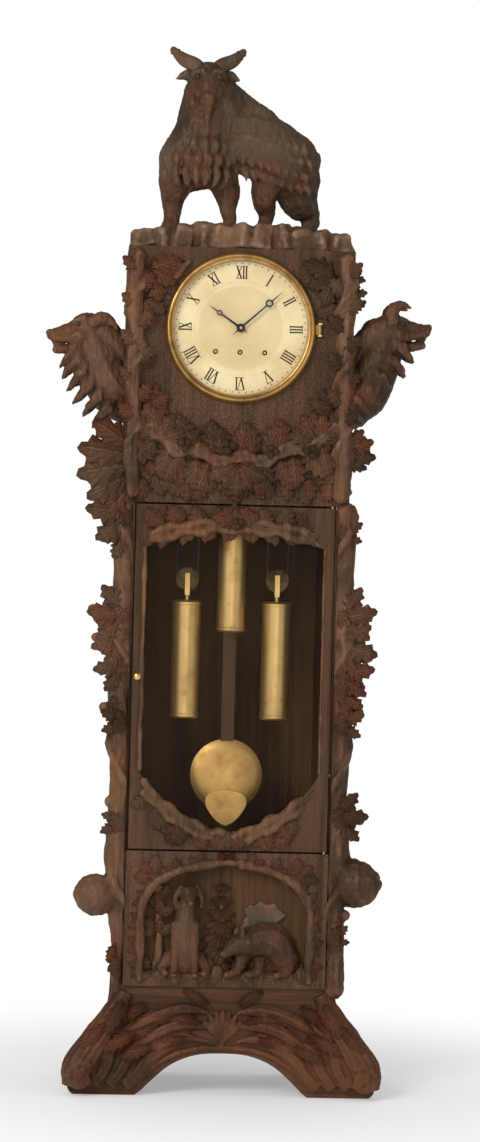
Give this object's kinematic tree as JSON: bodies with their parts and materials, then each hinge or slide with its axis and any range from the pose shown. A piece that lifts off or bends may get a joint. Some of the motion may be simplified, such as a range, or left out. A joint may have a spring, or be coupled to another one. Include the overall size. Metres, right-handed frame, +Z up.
{
  "type": "longcase clock",
  "caption": "Carved walnut longcase clock with a glazed trunk door, hanging weights, a seconds pendulum, hounds' heads and an ibex on top.",
  "frame": {"origin": "middle of the clock on the floor", "axes": "+Z up, the dial faces -Y, +X to the right of someone who reads the dial"},
  "size_m": [0.806, 0.34, 2.1841],
  "materials": {
    "walnut": "waxed carved walnut",
    "dark_walnut": "dark stained walnut boards",
    "red_walnut": "rubbed reddish walnut",
    "brass": "aged lacquered brass",
    "steel": "blued and brushed steel",
    "glass": "clear glass",
    "dial": "cream enamelled dial on brass"
  },
  "bodies": {
    "case": {"front_skirt": "red_walnut", "plain_skirts": "walnut", "front_foot_left": "red_walnut", "front_foot_right": "red_walnut", "case_sides": "walnut", "back_boards": "dark_walnut", "trunk_floor": "walnut", "pedestal_front": "walnut", "recess_panel": "dark_walnut", "sitting_hound": "red_walnut", "resting_bear": "walnut", "hinge_pins": "brass", "branch_column_left": "walnut", "branch_column_right": "walnut", "hood_boards": "walnut", "hood_front": "walnut", "hood_carving": "walnut", "hound_head_left": "walnut", "hound_head_right": "walnut", "rocky_ledge": "walnut", "ibex": "walnut", "seat_board": "dark_walnut", "seat_cheeks": "walnut", "movement_plates": "brass", "plate_pillars": "brass", "pendulum_cock": "brass", "cable_left": "steel", "cable_centre": "steel", "cable_right": "steel", "chime_rods": "steel", "dial_plate": "dial"},
    "door": {"trunk_door": "walnut", "door_carving": "walnut", "door_glass": "glass", "door_knob": "brass"},
    "bezel_door": {"bezel": "brass", "dial_glass": "glass"},
    "minute_arbor": {"centre_wheel": "brass", "minute_hand": "steel"},
    "hour_pipe": {"hour_wheel": "brass", "hour_hand": "steel"},
    "motion": {"motion_wheel": "brass"},
    "great": {"great_wheel": "brass"},
    "third": {"third_wheel": "brass"},
    "escape": {"escape_wheel": "brass"},
    "escapement": {"anchor": "steel"},
    "pendulum": {"suspension_spring": "steel", "pendulum_rod": "walnut", "pendulum_bob": "brass", "rating_nut": "brass"},
    "striker": {"hammer": "steel"},
    "left_drum": {"drum_left": "brass"},
    "left_weight": {"weight_left": "brass"},
    "left_pulley": {"pulley_left": "brass"},
    "centre_drum": {"drum_centre": "brass"},
    "centre_weight": {"weight_centre": "brass"},
    "centre_pulley": {"pulley_centre": "brass"},
    "right_drum": {"drum_right": "brass"},
    "right_weight": {"weight_right": "brass"},
    "right_pulley": {"pulley_right": "brass"}
  },
  "joints": [
    {"name": "door_swing", "type": "hinge", "parent": "case", "child": "door", "pos_m": [0.201, -0.127, 0.508], "axis": [0, 0, 1], "range_deg": [0, 90]},
    {"name": "bezel_swing", "type": "hinge", "parent": "case", "child": "bezel_door", "pos_m": [0.164, -0.138, 1.595], "axis": [0, 0, 1], "range_deg": [0, 90]},
    {"name": "minute_turn", "type": "hinge", "parent": "case", "child": "minute_arbor", "pos_m": [0, -0.093, 1.595], "axis": [0, 1, 0], "continuous": true},
    {"name": "hour_turn", "type": "hinge", "parent": "case", "child": "hour_pipe", "pos_m": [0, -0.093, 1.595], "axis": [0, 1, 0], "continuous": true},
    {"name": "motion_turn", "type": "hinge", "parent": "case", "child": "motion", "pos_m": [0.0192, -0.093, 1.595], "axis": [0, 1, 0], "continuous": true},
    {"name": "great_turn", "type": "hinge", "parent": "case", "child": "great", "pos_m": [0, -0.093, 1.54508], "axis": [0, 1, 0], "continuous": true},
    {"name": "third_turn", "type": "hinge", "parent": "case", "child": "third", "pos_m": [0.0245, -0.093, 1.6162], "axis": [0, 1, 0], "continuous": true},
    {"name": "escape_turn", "type": "hinge", "parent": "case", "child": "escape", "pos_m": [0, -0.093, 1.628], "axis": [0, 1, 0], "continuous": true},
    {"name": "pendulum_swing", "type": "hinge", "parent": "case", "child": "pendulum", "pos_m": [0, 0.002, 1.652], "axis": [0, 1, 0], "range_deg": [-3.5, 3.5]},
    {"name": "anchor_swing", "type": "hinge", "parent": "case", "child": "escapement", "pos_m": [0, -0.018, 1.652], "axis": [0, 1, 0], "range_deg": [-3.6, 3.6]},
    {"name": "hammer_swing", "type": "hinge", "parent": "case", "child": "striker", "pos_m": [0.12, 0.108, 1.676], "axis": [-1, 0, 0], "range_deg": [0, 18]},
    {"name": "left_weight_travel", "type": "slide", "parent": "case", "child": "left_weight", "axis": [0, 0, 1], "range_m": [-0.24, 0.37], "deforming": ["cable_left"]},
    {"name": "left_drum_turn", "type": "hinge", "parent": "case", "child": "left_drum", "pos_m": [-0.051, -0.093, 1.54508], "axis": [0, 1, 0], "range_deg": [-1244, 1917]},
    {"name": "left_pulley_turn", "type": "hinge", "parent": "left_weight", "child": "left_pulley", "pos_m": [-0.0943, -0.0555, 1.072], "axis": [0, 1, 0], "range_deg": [-1005, 653]},
    {"name": "centre_weight_travel", "type": "slide", "parent": "case", "child": "centre_weight", "axis": [0, 0, 1], "range_m": [-0.42, 0.19], "deforming": ["cable_centre"]},
    {"name": "centre_drum_turn", "type": "hinge", "parent": "case", "child": "centre_drum", "pos_m": [0, -0.093, 1.54508], "axis": [0, 1, 0], "range_deg": [-2175, 985]},
    {"name": "centre_pulley_turn", "type": "hinge", "parent": "centre_weight", "child": "centre_pulley", "pos_m": [-0.001, -0.0555, 1.254], "axis": [0, 1, 0], "range_deg": [-1140, 517]},
    {"name": "right_weight_travel", "type": "slide", "parent": "case", "child": "right_weight", "axis": [0, 0, 1], "range_m": [-0.24, 0.37], "deforming": ["cable_right"]},
    {"name": "right_drum_turn", "type": "hinge", "parent": "case", "child": "right_drum", "pos_m": [0.051, -0.093, 1.54508], "axis": [0, 1, 0], "range_deg": [-1917, 1244]},
    {"name": "right_pulley_turn", "type": "hinge", "parent": "right_weight", "child": "right_pulley", "pos_m": [0.0943, -0.0555, 1.072], "axis": [0, 1, 0], "range_deg": [-653, 1005]}
  ],
  "couplings": [
    {"joint": "hour_turn", "follows": "minute_turn", "ratio": 0.083333},
    {"joint": "motion_turn", "follows": "minute_turn", "ratio": -0.33333},
    {"joint": "great_turn", "follows": "minute_turn", "ratio": -0.083333},
    {"joint": "third_turn", "follows": "minute_turn", "ratio": -8},
    {"joint": "escape_turn", "follows": "minute_turn", "ratio": 60},
    {"joint": "anchor_swing", "follows": "pendulum_swing", "ratio": 1},
    {"joint": "left_drum_turn", "follows": "left_weight_travel", "rad_per_m": 90.293},
    {"joint": "left_pulley_turn", "follows": "left_weight_travel", "rad_per_m": -47.281},
    {"joint": "centre_drum_turn", "follows": "centre_weight_travel", "rad_per_m": 90.293},
    {"joint": "centre_pulley_turn", "follows": "centre_weight_travel", "rad_per_m": 47.281},
    {"joint": "right_drum_turn", "follows": "right_weight_travel", "rad_per_m": -90.293},
    {"joint": "right_pulley_turn", "follows": "right_weight_travel", "rad_per_m": 47.281}
  ]
}
